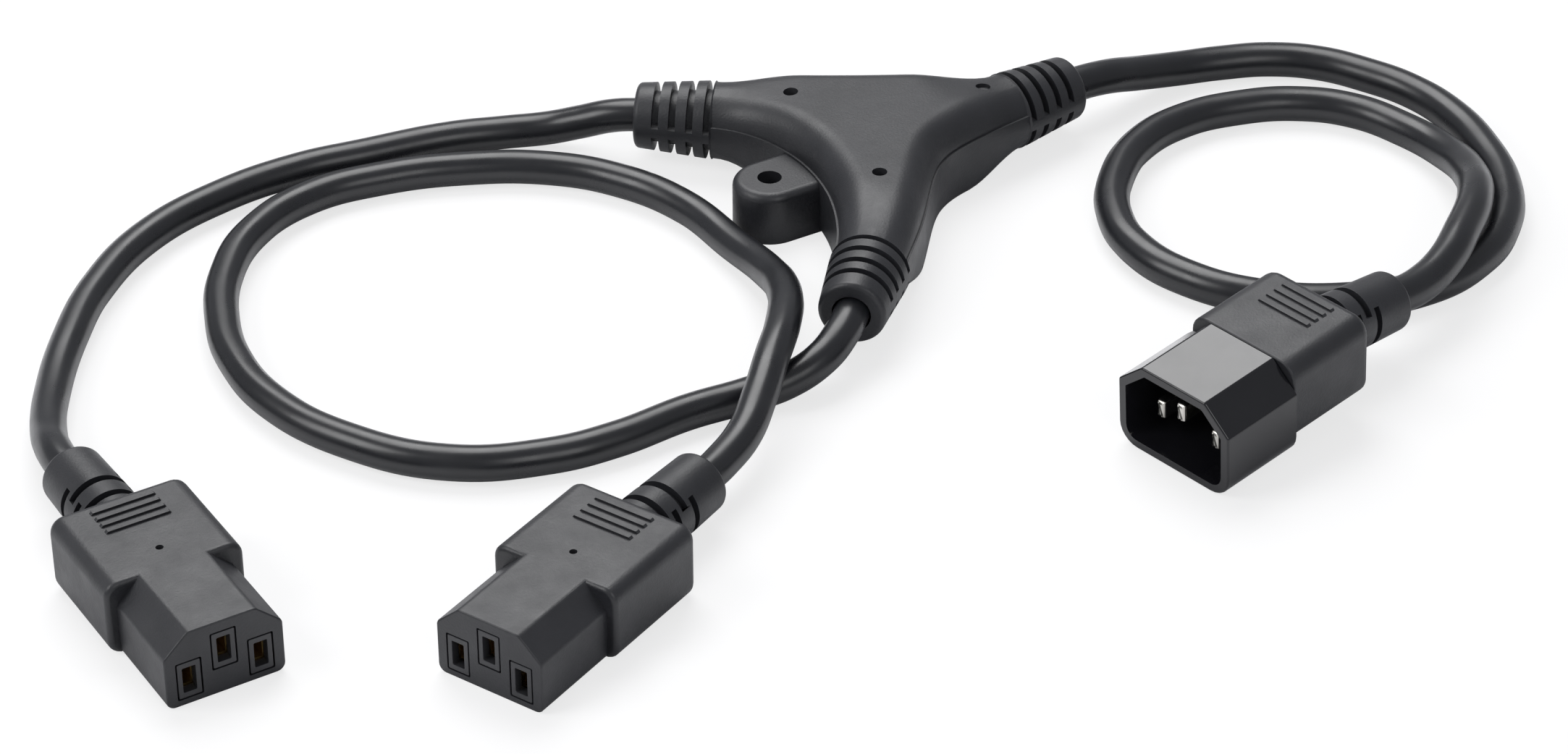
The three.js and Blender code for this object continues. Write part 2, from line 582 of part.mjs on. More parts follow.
function carrierSection(grow) {
  return faceShape(CARRIER.w + 2 * grow, CARRIER.foot - grow, CARRIER.top + grow, CARRIER.chamfer, 0, 0);
}

function socketOvermould() {
  const { noseW, noseH, noseLength, chamfer, footR, bodyW, bodyR, bodyEdge } = SOCKET;
  const nose = barX(faceShape(noseW, 0, noseH, chamfer, footR, 1.6), -noseLength - 3, 0, 0);
  const bodySection = roundedShape([
    [-bodyW / 2, 0, bodyR], [bodyW / 2, 0, bodyR], [bodyW / 2, noseH, bodyR], [-bodyW / 2, noseH, bodyR]], 4);
  const body = barX(bodySection, SOCKET_REAR, -noseLength, bodyEdge);
  let shell = union([nose, body, relief(SOCKET_REAR, SOCKET_AXIS, OUTLET_CORD_D), gripRibs(SOCKET_REAR, noseH)]);
  const carrierBack = -(TOWER.length + CARRIER.length);
  const cuts = [barX(carrierSection(SEAT_GAP), carrierBack - SEAT_GAP, -TOWER.length + SEAT_GAP)];
  Object.values(contactPlaces).forEach(([y, z]) => {
    cuts.push(barX(rectangle(TOWER.w + 2 * SEAT_GAP, TOWER.h + 2 * SEAT_GAP, y, z), -TOWER.length - 0.5, 1));
  });
  const { w, h, length } = WIRE_ROOM;
  cuts.push(block([carrierBack - length, -w / 2, SOCKET_AXIS - h / 2], [carrierBack, w / 2, SOCKET_AXIS + h / 2]));
  cuts.push(rodX(SOCKET_REAR - 1, carrierBack - length + 1, OUTLET_CORD_D / 2 + CORD_CLEARANCE, 18, 0, SOCKET_AXIS));
  cuts.push(rodZ(-SOCKET.noseLength - 6, 0, noseH - MARK_HOLE_DEPTH, noseH + 1, MARK_HOLE_D / 2, 10));
  return shell.subtract(union(cuts));
}

function socketCarrier() {
  const back = -(TOWER.length + CARRIER.length);
  let solid = barX(carrierSection(0), back, -TOWER.length);
  Object.values(contactPlaces).forEach(([y, z]) => {
    solid = solid.add(barX(rectangle(TOWER.w, TOWER.h, y, z), -TOWER.length - 0.5, 0));
  });
  Object.values(contactPlaces).forEach(([y, z]) => {
    solid = solid.subtract(barX(rectangle(SLOT.w, SLOT.h, y, z), -TOWER.length - 1, 1));
    solid = solid.subtract(barX(rectangle(CHANNEL.w, CHANNEL.h, y, z), back - 1, -TOWER.length - 0.4));
  });
  return solid;
}

const CONTACT_FRONT = -(TOWER.length + 0.4 + SEAT_GAP);
const CONTACT_BACK = CONTACT_FRONT - CONTACT_LENGTH;
const CRIMP_R = CONDUCTOR_D / 2 + CRIMP_SLACK + CONTACT_SHEET;

// A female contact: two leaves on a web, and a crimp barrel behind them
function socketContact([y, z]) {
  const w = CHANNEL.w - 2 * SEAT_GAP;
  const h = CHANNEL.h - 2 * SEAT_GAP;
  const trough = barX(rectangle(w, h, y, z), CONTACT_BACK, CONTACT_FRONT);
  const hollow = barX(rectangle(w - 2 * CONTACT_SHEET, h, y, z + CONTACT_SHEET), CONTACT_BACK + CONTACT_SHEET, 1);
  const barrel = rodX(CONTACT_BACK - CRIMP_LENGTH, CONTACT_BACK + 0.2, CRIMP_R, 10, y, z);
  const bore = rodX(CONTACT_BACK - CRIMP_LENGTH - 1, CONTACT_BACK + 1, CRIMP_R - CONTACT_SHEET, 10, y, z);
  return trough.subtract(hollow).add(barrel).subtract(bore);
}

// Cores from the end of the jacket at x, on an axis at height z, forward to crimp barrels that end at crimpX
function connectorCores(group, name, x, z, crimpX, places) {
  CIRCUITS.forEach((circuit) => {
    const [y, height] = places[circuit];
    const offset = coreOffset(Math.sign(y));
    const start = [x + SEAT_GAP, offset[0], z + offset[1]];
    const straight = [x + 2, offset[0], z + offset[1]];
    const end = [crimpX - 0.8, y, height];
    addMesh(group, `${name}_core_${circuit}`, core([start, straight, [crimpX - 2.4, y, height], end]),
      { color: CORE_COLOURS[circuit], roughness: 0.5, metalness: 0 });
  });
}

const SOCKET_JACKET_END = SOCKET_REAR + 4;     // a cord's jacket ends this far inside the body

function socket(name, place) {
  const group = new THREE.Group();
  addMesh(group, `${name}_overmould`, socketOvermould(), MATTE_BLACK);
  addMesh(group, `${name}_contact_carrier`, socketCarrier(), CARRIER_GREY);
  Object.entries(contactPlaces).forEach(([circuit, at]) => {
    addMesh(group, `${name}_contact_${circuit}`, socketContact(at), BRASS);
  });
  connectorCores(group, name, SOCKET_JACKET_END, SOCKET_AXIS, CONTACT_BACK - CRIMP_LENGTH, contactPlaces);
  group.position.set(place.at[0], place.at[1], 0);
  group.rotation.z = degrees(place.heading);
  return group;
}

// Male plug

const PLUG_REAR = -(SHROUD.length + PLUG_BODY.length);
const PLUG_AXIS = (PLUG_BODY.foot + SHROUD.h) / 2 - PLUG.reliefLow;
const BASE_FRONT = -(BLADE.tipDepth + 14.6);
const BASE_BACK = BASE_FRONT - SHROUD.base;
const SPIGOT_BACK = -(SHROUD.length + SHROUD.spigot);
const bladePlaces = {
  line: [CONTACT_SPREAD, BLADE.lowHeight],
  neutral: [-CONTACT_SPREAD, BLADE.lowHeight],
  earth: [0, BLADE.lowHeight + EARTH_RISE],
};

function shroudSection(inset) {
  const [across, down] = SHROUD.chamfer;
  const slope = Math.hypot(across, down);
  const cut = inset * (across + down - slope) / slope;
  return faceShape(SHROUD.w - 2 * inset, inset, SHROUD.h - inset,
    [across - inset + cut * across / (across + down) + inset * 0.4, down - inset * 0.6],
    Math.max(SHROUD.footR - inset, 0.6), 0.9);
}

function plugShroud() {
  const outer = barX(shroudSection(0), -SHROUD.length, 0);
  const spigot = barX(shroudSection(SPIGOT_STEP), SPIGOT_BACK, -SHROUD.length + 0.5);
  let solid = outer.add(spigot).subtract(barX(shroudSection(SHROUD.wall), BASE_FRONT, 1));
  Object.values(bladePlaces).forEach(([y, z]) => {
    const hole = rectangle(BLADE.w + 2 * SEAT_GAP, BLADE.h + 2 * SEAT_GAP, y, z);
    solid = solid.subtract(barX(hole, SPIGOT_BACK - 1, BASE_FRONT + 1));
  });
  return solid.subtract(barX(shroudSection(SPIGOT_STEP + SHROUD.wall), SPIGOT_BACK - 1, BASE_BACK));
}

function plugBlade(circuit) {
  const [y, z] = bladePlaces[circuit];
  const front = -BLADE.tipDepth + (circuit === 'earth' ? BLADE.earthLead : 0);
  const back = BASE_BACK - BLADE.tail;
  const flat = barX(rectangle(BLADE.w, BLADE.h, y, z), back, front, BLADE.tip);
  const barrel = rodX(back - CRIMP_LENGTH, back + BLADE.tip + 0.5, CRIMP_R, 10, y, z);
  const bore = rodX(back - CRIMP_LENGTH - 1, back - 0.3, CRIMP_R - CONTACT_SHEET, 10, y, z);
  return flat.add(barrel).subtract(bore);
}

function plugOvermould() {
  const { w, foot, r, edge } = PLUG_BODY;
  const front = -(SHROUD.length + SEAT_GAP);
  const section = roundedShape([
    [-w / 2, foot, r], [w / 2, foot, r], [w / 2, SHROUD.h, r + 1], [-w / 2, SHROUD.h, r + 1]], 4);
  const rounded = barX(section, PLUG_REAR, front, edge);
  const collarFront = barX(section, front - 2 * edge, front);
  const droop = relief(0, 0, INLET_CORD_D);
  const tilted = placed(droop, [PLUG_REAR, 0, PLUG_AXIS], 0, -PLUG.reliefDrop);
  let shell = union([rounded, collarFront, tilted, gripRibs(PLUG_REAR, SHROUD.h)]);
  const room = PLUG_WIRE_ROOM;
  const roomFront = SPIGOT_BACK - SEAT_GAP;
  const cuts = [
    barX(shroudSection(SPIGOT_STEP - SEAT_GAP), roomFront, front + 1),
    block([roomFront - room.length, -room.w / 2, PLUG_AXIS - room.h / 2 + 1],
      [roomFront + 1, room.w / 2, PLUG_AXIS + room.h / 2 + 1]),
    placed(rodX(-RELIEF.length - 1, 7, INLET_CORD_D / 2 + CORD_CLEARANCE, 18), [PLUG_REAR, 0, PLUG_AXIS], 0,
      -PLUG.reliefDrop),
  ];
  return shell.subtract(union(cuts));
}

const PLUG_JACKET_IN = 0;                      // the jacket's end from the plug body's rear, along the relief

function plug(place) {
  const group = new THREE.Group();
  addMesh(group, 'plug_overmould', plugOvermould(), MATTE_BLACK);
  addMesh(group, 'plug_shroud', plugShroud(), GLOSS_BLACK);
  CIRCUITS.forEach((circuit) => addMesh(group, `plug_blade_${circuit}`, plugBlade(circuit), NICKEL));
  const crimpX = BASE_BACK - BLADE.tail - CRIMP_LENGTH;
  connectorCores(group, 'plug', PLUG_REAR + PLUG_JACKET_IN + 0.4, PLUG_AXIS, crimpX, bladePlaces);
  group.position.set(place.at[0], place.at[1], 0);
  group.rotation.set(0, degrees(place.noseDown), degrees(place.heading), 'ZYX');
  return group;
}

// Cords

function cordFrom(arm) {
  const { root } = armRoot(arm);
  const at = [root.x, root.y, ARM_HEIGHT];
  const inside = toPlace([COLLAR_LENGTH - JACKET_DEPTH, 0, 0], at, arm.heading);
  const middle = toPlace([COLLAR_LENGTH / 2, 0, 0], at, arm.heading);
  const mouth = toPlace([COLLAR_LENGTH, 0, 0], at, arm.heading);
  return [inside, middle, mouth];
}

function socketTail(place) {
  const tail = (x) => toPlace([x, 0, SOCKET_AXIS], place.at, place.heading);
  return [tail(SOCKET_REAR - RELIEF.length), tail(SOCKET_REAR - RELIEF.length / 2), tail(SOCKET_JACKET_END)];
}

function plugTail(place) {
  const toPlug = placeMatrix(place.at, place.heading, place.noseDown);
  const toRelief = placeMatrix([PLUG_REAR, 0, PLUG_AXIS], 0, -place.reliefDrop);
  const tail = (x) => new THREE.Vector3(x, 0, 0).applyMatrix4(toRelief).applyMatrix4(toPlug).toArray();
  return [tail(-RELIEF.length), tail(-RELIEF.length / 2), tail(PLUG_JACKET_IN)];
}

function addCord(group, name, arm, route, tail, steps) {
  addMesh(group, name, tube([...cordFrom(arm), ...route, ...tail], arm.cordD, CORD_SIDES, steps), SATIN_BLACK);
}

// The whole splitter

const splitter = new THREE.Group();
addMesh(splitter, 'splitter_housing', housing(), MATTE_BLACK);
CIRCUITS.forEach((circuit, k) => addMesh(splitter, `splice_${circuit}`, splice(k), BRASS));
housingCores(splitter);
splitter.add(socket('left_socket', LEFT_SOCKET));
splitter.add(socket('right_socket', RIGHT_SOCKET));
splitter.add(plug(PLUG));
addCord(splitter, 'left_outlet_cord', ARMS.left, LEFT_ROUTE, socketTail(LEFT_SOCKET), 17);
addCord(splitter, 'right_outlet_cord', ARMS.front, FRONT_ROUTE, socketTail(RIGHT_SOCKET), 30);
addCord(splitter, 'inlet_cord', ARMS.inlet, INLET_ROUTE, plugTail(PLUG), 33);

export default splitter;
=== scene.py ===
"""A mains power cord splitter on a white floor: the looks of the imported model, in its own frame."""
import json
import math

import bpy
from mathutils import Matrix, Vector

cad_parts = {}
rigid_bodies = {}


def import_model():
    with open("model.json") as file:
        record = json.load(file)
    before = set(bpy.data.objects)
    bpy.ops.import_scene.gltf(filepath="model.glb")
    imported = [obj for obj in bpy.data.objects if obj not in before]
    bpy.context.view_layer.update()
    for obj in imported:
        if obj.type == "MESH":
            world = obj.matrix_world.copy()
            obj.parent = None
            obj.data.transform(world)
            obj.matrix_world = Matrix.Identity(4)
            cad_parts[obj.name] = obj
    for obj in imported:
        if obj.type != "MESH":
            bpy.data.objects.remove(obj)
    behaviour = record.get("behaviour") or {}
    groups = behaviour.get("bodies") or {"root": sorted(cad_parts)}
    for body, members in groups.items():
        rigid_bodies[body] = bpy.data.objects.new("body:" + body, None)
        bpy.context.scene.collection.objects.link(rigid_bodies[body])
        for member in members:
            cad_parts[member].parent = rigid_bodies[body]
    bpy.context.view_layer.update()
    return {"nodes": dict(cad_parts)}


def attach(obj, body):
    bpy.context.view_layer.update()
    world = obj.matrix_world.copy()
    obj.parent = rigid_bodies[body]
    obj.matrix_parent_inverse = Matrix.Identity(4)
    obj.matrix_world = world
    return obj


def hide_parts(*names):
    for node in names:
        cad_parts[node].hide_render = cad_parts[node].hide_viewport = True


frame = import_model()
MM = 0.001

# Camera, in metres and radians, where the photograph was taken from
CAMERA_AT = (-0.4354, -0.6755, 0.50295)
CAMERA_HEADING = math.radians(59)
CAMERA_PITCH = 0.599
FOCAL_MM = 104.76

# Sizes repeated from the CAD model, in mm
OUTLET_CORD_D, INLET_CORD_D, CORD_GAP = 7.1, 7.5, 0.4
HEIGHT, AXIS_Z = 19.0, 9.5
LEDGE, LEDGE_STEP, TOP_ROUND, FOOT_ROUND = 12.0, 0.4, 6.0, 1.2
ARM_R, ARM_BLEND = 8.0, 17.0
HUB_STEPS = 36                   # steps along each flank of the hub
CURVE_STEPS = 400                # fine steps by which a flank's length is measured
CAP_STRIPS = 11                  # steps of each flank whose cap lies across an arm
COLLAR_LENGTH, COLLAR_ROOT_R, COLLAR_END_R, COLLAR_END_ROUND = 16.3, 8.3, 6.8, 1.1
COLLAR_GROOVES = ((4.0, 1.5), (7.6, 1.5), (11.3, 1.5), (15.0, 1.35))   # distance from the end, width
COLLAR_GROOVE_DEPTH, COLLAR_BRIDGE = 2.0, 1.1
JACKET_DEPTH = 13                # how far a cord's jacket reaches into its collar
EAR_HOLE, EAR_R, EAR_HEIGHT, EAR_EDGE, EAR_REACH, EAR_HOLE_R = (-29.9, 5.1), 7.6, 11.5, 1.8, 16, 2.5
ARMS = {
    "inlet": ((44.3, 6.5), 6.0, INLET_CORD_D),
    "left": ((-39.3, 43.5), 141.7, OUTLET_CORD_D),
    "front": ((-40.6, -44.0), 225.4, OUTLET_CORD_D),
}
FLANKS = (("front", "inlet", 42, 34), ("inlet", "left", 6, 8), ("left", "front", 19, 21))
PIN_HOLES = ((-15, 21.5), (-16, -14.9), (21.2, 4.1))
PIN_HOLE_R, PIN_HOLE_DEPTH = 1.55, 2
LEFT_SOCKET = ((-191.5, -77.7), -89.3)
RIGHT_SOCKET = ((-151.8, -102.4), -155.2)
PLUG = ((-8.7, -108.8), -168.3)
PLUG_NOSE_DOWN, RELIEF_DROP = 4.6, 9.0
SOCKET_REAR, SOCKET_TOP, PLUG_REAR, PLUG_TOP, PLUG_FOOT = -44.4, 15.6, -41.0, 20.15, 2.6
SOCKET_AXIS = SOCKET_TOP / 2
PLUG_AXIS = (PLUG_FOOT + PLUG_TOP) / 2 - 1.6
RELIEF_LENGTH, RELIEF_ROOT_R, RELIEF_END_R, RELIEF_END_ROUND = 20.6, 6.7, 6.2, 0.9
RELIEF_FIRST, RELIEF_PITCH, RELIEF_SIDE_SHIFT, RELIEF_DEPTH = 2.4, 5.4, 2.7, 1.7
NOSE_W, NOSE_CHAMFER, NOSE_FOOT_R, NOSE_CORNER_R = 23.3, (5, 4.6), 1.7, 1.6
SOCKET_BODY_HALF_W, SOCKET_BODY_R, SOCKET_BODY_FRONT = 13.7, 3, -19.4
CARRIER_CHAMFER = (6, 5)
WINDOW, TOWER, SLOT, CHANNEL = (5.1, 8.1), (4.5, 7.5), (2.6, 5.3), (4.0, 6.4)
SHROUD_W, SHROUD_CHAMFER, SHROUD_FOOT_R, SHROUD_WALL, SHROUD_REAR = 28.3, (6.1, 5.5), 4.6, 1.9, -19
PLUG_BODY_HALF_W = 13.2
RIB_HALF_LENGTH, RIB_RISE, RIB_PITCH, RIB_FIRST, RIB_COUNT = 6.5, .45, 2.2, 3.4, 4
CONTACTS = {"line": (7, 5.4), "neutral": (-7, 5.4), "earth": (0, 9.4)}
BLADES = {"line": (7, 8.5), "neutral": (-7, 8.5), "earth": (0, 12.5)}

# Routes of the cords' centres, in metres. The level runs lie 0.10 to 0.15 mm above those of the CAD model,
# so that no curve dips under the floor.
LEFT_ROUTE = [
    (-.0435, .0469, .0088), (-.0485, .0513, .0066), (-.0540, .0556, .0046), (-.0618, .0600, .0037),
    (-.0730, .0639, .0037), (-.0920, .0671, .0037), (-.1060, .0690, .0037), (-.1248, .0676, .0037),
    (-.1435, .0615, .0037), (-.1604, .0489, .0037), (-.1715, .0360, .0037), (-.1820, .0205, .0037),
    (-.1893, .0055, .0052), (-.1921, -.0055, .0074),
]
FRONT_ROUTE = [
    (-.0446, -.0474, .0089), (-.0512, -.0506, .0068), (-.0590, -.0513, .0047), (-.0680, -.0503, .0037),
    (-.0805, -.0494, .0037), (-.0970, -.0502, .0037), (-.1103, -.0485, .0037), (-.1277, -.0406, .0037),
    (-.1409, -.0243, .0037), (-.1475, -.0058, .0037), (-.1476, .0112, .0037), (-.1435, .0260, .0037),
    (-.1360, .0400, .0037), (-.1240, .0520, .0037), (-.1085, .0580, .0037), (-.0930, .0570, .0037),
    (-.0770, .0520, .0037), (-.0607, .0424, .0037), (-.0505, .0305, .0037), (-.0443, .0150, .0037),
    (-.0429, -.0030, .0037), (-.0435, -.0170, .0056), (-.0475, -.0300, .0092), (-.0560, -.0435, .0119),
    (-.0635, -.0520, .0119), (-.0710, -.0600, .0102), (-.0785, -.0670, .0086), (-.0865, -.0720, .0079),
]
INLET_ROUTE = [
    (.0540, .0072, .0086), (.0640, .0080, .0062), (.0740, .0078, .0044), (.0840, .0056, .0039),
    (.0935, .0016, .0039), (.1017, -.0051, .0039), (.1076, -.0145, .0039), (.1118, -.0251, .0039),
    (.1129, -.0375, .0039), (.1104, -.0515, .0039), (.1050, -.0650, .0039), (.0960, -.0765, .0039),
    (.0825, -.0850, .0039), (.0660, -.0875, .0039), (.0500, -.0830, .0039), (.0370, -.0735, .0039),
    (.0288, -.0610, .0039), (.0260, -.0470, .0039), (.0295, -.0330, .0039), (.0380, -.0215, .0039),
    (.0495, -.0132, .0039), (.0630, -.0099, .0039), (.0760, -.0116, .0039), (.0875, -.0165, .0039),
    (.0962, -.0250, .0039), (.1010, -.0375, .0039), (.1015, -.0500, .0050), (.0972, -.0630, .0082),
    (.0885, -.0755, .0115), (.0780, -.0846, .0122), (.0685, -.0910, .0114), (.0600, -.0945, .0109),
]


def turned(angle):
    """The unit vector of a heading in degrees."""
    return Vector((math.cos(math.radians(angle)), math.sin(math.radians(angle))))


def place(at, heading, pitch=0.0):
    """A matrix, in mm, that takes a piece made along +X to its place."""
    x, y, z = (*at, 0.0)[:3]
    turn = Matrix.Rotation(math.radians(heading), 4, "Z") @ Matrix.Rotation(math.radians(pitch), 4, "Y")
    return Matrix.Translation((x, y, z)) @ turn


def arm_root(name):
    """The way out of an arm, the middle of its root, and the root's right and left ends, in mm."""
    (x, y), heading, _ = ARMS[name]
    out = turned(heading)
    root = Vector((x, y)) - out * COLLAR_LENGTH
    side = Vector((-out.y, out.x)) * ARM_R
    return out, root, root - side, root + side


# Camera and cords come first

camera = bpy.data.objects.new("camera", bpy.data.cameras.new("camera"))
bpy.context.scene.collection.objects.link(camera)
camera.data.lens, camera.data.sensor_width = FOCAL_MM, 36.0
camera.data.clip_start, camera.data.clip_end = 0.01, 20.0
camera.location = CAMERA_AT
camera.rotation_mode = "QUATERNION"
looking = Vector((
    math.cos(CAMERA_HEADING) * math.cos(CAMERA_PITCH), math.sin(CAMERA_HEADING) * math.cos(CAMERA_PITCH),
    -math.sin(CAMERA_PITCH)))
camera.rotation_quaternion = looking.to_track_quat("-Z", "Y")
bpy.context.scene.camera = camera


def collar_points(name):
    """A cord's points inside its collar, and its mouth, in metres."""
    out, root, _, _ = arm_root(name)
    steps = (COLLAR_LENGTH - JACKET_DEPTH, COLLAR_LENGTH / 2, COLLAR_LENGTH)
    return [Vector((*(root + out * s), AXIS_Z)) * MM for s in steps]


def tail_points(at, heading, axis_z, rear, inside):
    """A cord's points from the mouth of a connector's strain relief to inside its body, in metres."""
    steps = (rear - RELIEF_LENGTH, rear - RELIEF_LENGTH / 2, rear + inside)
    return [(place(at, heading) @ Vector((x, 0, axis_z))) * MM for x in steps]


def plug_tail_points():
    """The inlet cord's points from the plug's strain relief to inside its body, in metres."""
    to_plug = place(PLUG[0], PLUG[1], PLUG_NOSE_DOWN) @ place((PLUG_REAR, 0, PLUG_AXIS), 0, -RELIEF_DROP)
    return [(to_plug @ Vector((x, 0, 0))) * MM for x in (-RELIEF_LENGTH, -RELIEF_LENGTH / 2, 0)]


def make_cord(name, points, diameter):
    """A cord as one smooth curve. Each knot's radius is the cord's, because the bevel is one unit deep."""
    data = bpy.data.curves.new(name, "CURVE")
    data.dimensions = "3D"
    data.bevel_depth = 1.0
    data.bevel_resolution = 6
    data.resolution_u = 10
    data.use_fill_caps = True
    spline = data.splines.new("BEZIER")
    spline.bezier_points.add(len(points) - 1)
    for knot, point in zip(spline.bezier_points, points):
        knot.co = point
        knot.handle_left_type = knot.handle_right_type = "AUTO"
        knot.radius = diameter / 2 * MM
    cord = bpy.data.objects.new(name + "_look", data)
    bpy.context.scene.collection.objects.link(cord)
    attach(cord, "root")
    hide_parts(name)
    return cord


left_cord = make_cord(
    "left_outlet_cord",
    [*collar_points("left"), *map(Vector, LEFT_ROUTE),
     *tail_points(*LEFT_SOCKET, SOCKET_AXIS, SOCKET_REAR, 4)], OUTLET_CORD_D)
right_cord = make_cord(
    "right_outlet_cord",
    [*collar_points("front"), *map(Vector, FRONT_ROUTE),
     *tail_points(*RIGHT_SOCKET, SOCKET_AXIS, SOCKET_REAR, 4)], OUTLET_CORD_D)
inlet_cord = make_cord(
    "inlet_cord", [*collar_points("inlet"), *map(Vector, INLET_ROUTE), *plug_tail_points()], INLET_CORD_D)


# Mesh helpers, all in mm

def solid(name, verts, faces):
    mesh = bpy.data.meshes.new(name)
    mesh.from_pydata([tuple(Vector(v) * MM) for v in verts], [], faces)
    mesh.validate()
    made = bpy.data.objects.new(name, mesh)
    bpy.context.scene.collection.objects.link(made)
    return made


def stack(name, rings):
    """A closed solid from rings of equal length, capped at both ends. Rings turn left seen from their end."""
    count = len(rings[0])
    faces = [tuple(reversed(range(count)))]
    for level in range(len(rings) - 1):
        a, b = level * count, (level + 1) * count
        faces += [(a + k, a + (k + 1) % count, b + (k + 1) % count, b + k) for k in range(count)]
    last = (len(rings) - 1) * count
    faces.append(tuple(range(last, last + count)))
    return solid(name, [p for ring in rings for p in ring], faces)


def rounded(corners, steps=6):
    """A closed outline whose corners [a, b, radius] are rounded by true arcs."""
    points = []
    total = len(corners)
    for i, corner in enumerate(corners):
        r = corner[2] if len(corner) > 2 else 0
        here = Vector(corner[:2])
        if r <= 0:
            points.append(here)
            continue
        to_last = (Vector(corners[i - 1][:2]) - here).normalized()
        to_next = (Vector(corners[(i + 1) % total][:2]) - here).normalized()
        half = math.acos(max(-1, min(1, to_last.dot(to_next)))) / 2
        centre = here + (to_last + to_next).normalized() * (r / math.sin(half))
        start = here + to_last * (r / math.tan(half)) - centre
        end = here + to_next * (r / math.tan(half)) - centre
        sweep = math.atan2(start.x * end.y - start.y * end.x, start.dot(end))
        for k in range(steps + 1):
            points.append(centre + Matrix.Rotation(sweep * k / steps, 2) @ start)
    return points


def inset(points, distance):
    """The outline moved inward by distance, for an outline that turns left."""
    total = len(points)
    moved = []
    for i, here in enumerate(points):
        before = (here - points[i - 1]).normalized()
        after = (points[(i + 1) % total] - here).normalized()
        normal_a, normal_b = Vector((-before.y, before.x)), Vector((-after.y, after.x))
        middle = (normal_a + normal_b).normalized()
        moved.append(here + middle * (distance / max(0.3, middle.dot(normal_a))))
    return moved


def bar(name, section, x0, x1, edge0=0.0, edge1=0.0, steps=5):
    """A section of (y, z) swept from x0 to x1, with its two end edges rounded."""
    rings = []

    def ring(x, distance):
        outline = inset(section, distance) if distance > 1e-6 else section
        rings.append([(x, p[0], p[1]) for p in outline])

    quarter = [math.pi / 2 * k / steps for k in range(steps + 1)]
    for angle in quarter if edge0 else [math.pi / 2]:
        ring(x0 + edge0 * (1 - math.cos(angle)), edge0 * (1 - math.sin(angle)))
    for angle in reversed(quarter) if edge1 else [math.pi / 2]:
        ring(x1 - edge1 * (1 - math.cos(angle)), edge1 * (1 - math.sin(angle)))
    return stack(name, rings)


def lathe(name, profile, sides=64, y=0.0, z=0.0):
    """The solid of a profile of (x, radius), turned about an axis along X at (y, z), flat at both ends."""
    rings = []
    for x, r in profile:
        angles = [2 * math.pi * k / sides for k in range(sides)]
        rings.append([(x, y + r * math.cos(a), z + r * math.sin(a)) for a in angles])
    return stack(name, rings)


def rod(name, x0, x1, r, sides=48, y=0.0, z=0.0):
    return lathe(name, [(x0, r), (x1, r)], sides, y, z)


def upright(name, x, y, z0, z1, r, sides=40):
    angles = [2 * math.pi * k / sides for k in range(sides)]
    ring = [(x + r * math.cos(a), y + r * math.sin(a)) for a in angles]
    return stack(name, [[(*p, z0) for p in ring], [(*p, z1) for p in ring]])


def box(name, low, high):
    section = [Vector((low[1], low[2])), Vector((high[1], low[2])), Vector((high[1], high[2])),
               Vector((low[1], high[2]))]
    return bar(name, section, low[0], high[0])


def at_place(made, matrix):
    """The piece's mesh moved by a matrix in mm."""
    metres = matrix.copy()
    metres.translation = matrix.translation * MM
    made.data.transform(metres)
    return made


def plain(made):
    """The piece with its modifiers made part of its mesh."""
    graph = bpy.context.evaluated_depsgraph_get()
    mesh = bpy.data.meshes.new_from_object(made.evaluated_get(graph))
    made.modifiers.clear()
    old, made.data = made.data, mesh
    bpy.data.meshes.remove(old)
    return made


def combine(made, tools, operation):
    """made joined with or cut by every one of the tools, which are used up."""
    for tool in tools:
        cut = made.modifiers.new("cut", "BOOLEAN")
        cut.operation, cut.solver, cut.object = operation, "EXACT", tool
    plain(made)
    for tool in tools:
        bpy.data.objects.remove(tool)
    return made


def finished(made, slot_name, material, *nodes, sharp=34, soften=0.0):
    """The piece shaded smooth between its sharp edges, on the root body, in place of its CAD nodes."""
    if soften:
        weld = made.modifiers.new("weld", "WELD")
        weld.merge_threshold = 0.01 * MM
        edge = made.modifiers.new("edge", "BEVEL")
        edge.width, edge.segments, edge.limit_method = soften * MM, 2, "ANGLE"
        edge.angle_limit = math.radians(38)
        edge.use_clamp_overlap = True
        plain(made)
    made.data.materials.clear()
    made.data.materials.append(material)
    made.data.shade_smooth()
    made.data.set_sharp_from_angle(angle=math.radians(sharp))
    weight = made.modifiers.new("weight", "WEIGHTED_NORMAL")
    weight.keep_sharp = True
    plain(made)
    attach(made, "root")
    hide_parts(*nodes)
    return made


# Materials

def nodes_of(name, metallic=0.0):
    material = bpy.data.materials.new(name)
    material.use_nodes = True
    tree = material.node_tree
    shader = tree.nodes["Principled BSDF"]
    shader.inputs["Metallic"].default_value = metallic
    where = tree.nodes.new("ShaderNodeTexCoord")
    return material, tree, shader, where.outputs["Object"]


def noise(tree, coords, scale, detail=3.0, rough=0.55):
    texture = tree.nodes.new("ShaderNodeTexNoise")
    texture.inputs["Scale"].default_value = scale
    texture.inputs["Detail"].default_value = detail
    texture.inputs["Roughness"].default_value = rough
    tree.links.new(coords, texture.inputs["Vector"])
    return texture.outputs["Fac"]


def ramp(tree, value, low, high, from_low=0.3, from_high=0.7):
    """value taken from one range to another, held within it."""
    remap = tree.nodes.new("ShaderNodeMapRange")
    remap.inputs["From Min"].default_value = from_low
    remap.inputs["From Max"].default_value = from_high
    remap.inputs["To Min"].default_value = low
    remap.inputs["To Max"].default_value = high
    tree.links.new(value, remap.inputs["Value"])
    return remap.outputs["Result"]


def mixed(tree, factor, colour_a, colour_b):
    blend = tree.nodes.new("ShaderNodeMix")
    blend.data_type = "RGBA"
    blend.inputs["A"].default_value = (*colour_a, 1)
    blend.inputs["B"].default_value = (*colour_b, 1)
    tree.links.new(factor, blend.inputs["Factor"])
    return blend.outputs["Result"]


